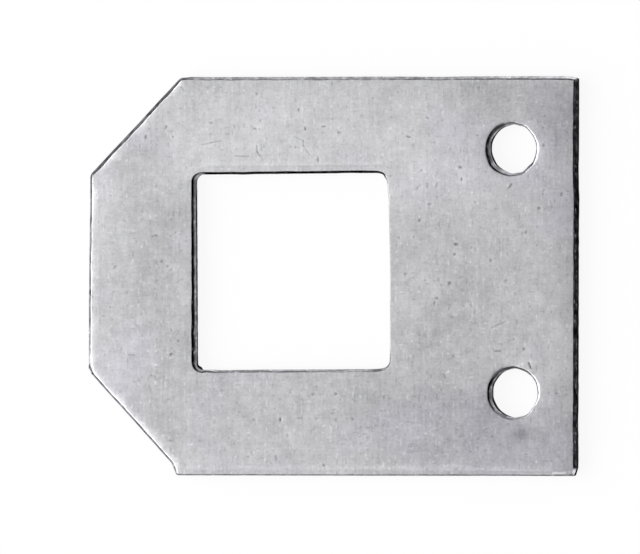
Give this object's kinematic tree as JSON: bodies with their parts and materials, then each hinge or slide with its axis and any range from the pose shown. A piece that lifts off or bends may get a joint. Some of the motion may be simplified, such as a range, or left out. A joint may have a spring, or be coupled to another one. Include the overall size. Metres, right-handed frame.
{
  "type": "mirror plate",
  "caption": "Flat pressed-steel mirror plate with cropped corners at one end, screw holes at the other and a square window between.",
  "frame": {"origin": "centre of the bounding box, on the rear face that the plate lies on", "axes": "+X along the plate towards the end with the screw holes, +Y across it, +Z out of the front face with the rolled edges"},
  "size_m": [0.05, 0.04, 0.0015],
  "materials": {
    "steel": "mill-finished cold-rolled steel, dull satin with fine scratches and pits"
  },
  "bodies": {
    "root": {"plate": "steel"}
  },
  "joints": []
}
